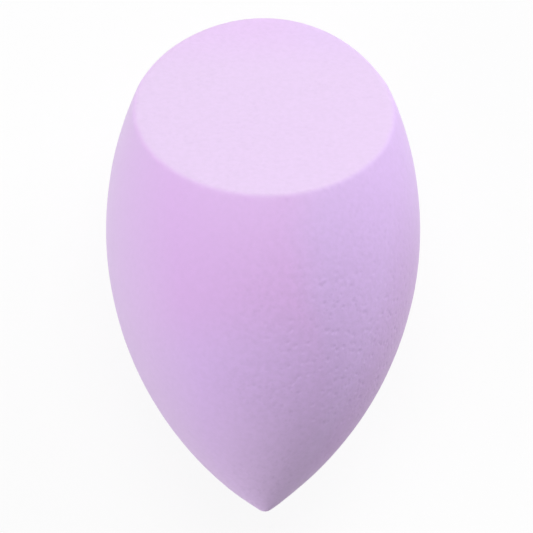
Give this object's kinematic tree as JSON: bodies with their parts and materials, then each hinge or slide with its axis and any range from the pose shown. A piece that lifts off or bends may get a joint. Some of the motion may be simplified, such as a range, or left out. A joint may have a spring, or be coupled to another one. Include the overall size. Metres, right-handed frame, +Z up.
{
  "type": "makeup sponge",
  "caption": "Drop-shaped foam makeup sponge with a pointed tip and an oblique flat face for blending cosmetics, lying on its back.",
  "frame": {"origin": "below the middle of the sponge's box, on the surface that it lies on", "axes": "+Z up from that surface, +Y along the sponge from its tip towards its cut end, X across it with the mirror plane at X = 0"},
  "size_m": [0.04, 0.0666, 0.0395],
  "materials": {
    "lilac_foam": "matte"
  },
  "bodies": {
    "root": {"foam_body": "lilac_foam"}
  },
  "joints": []
}
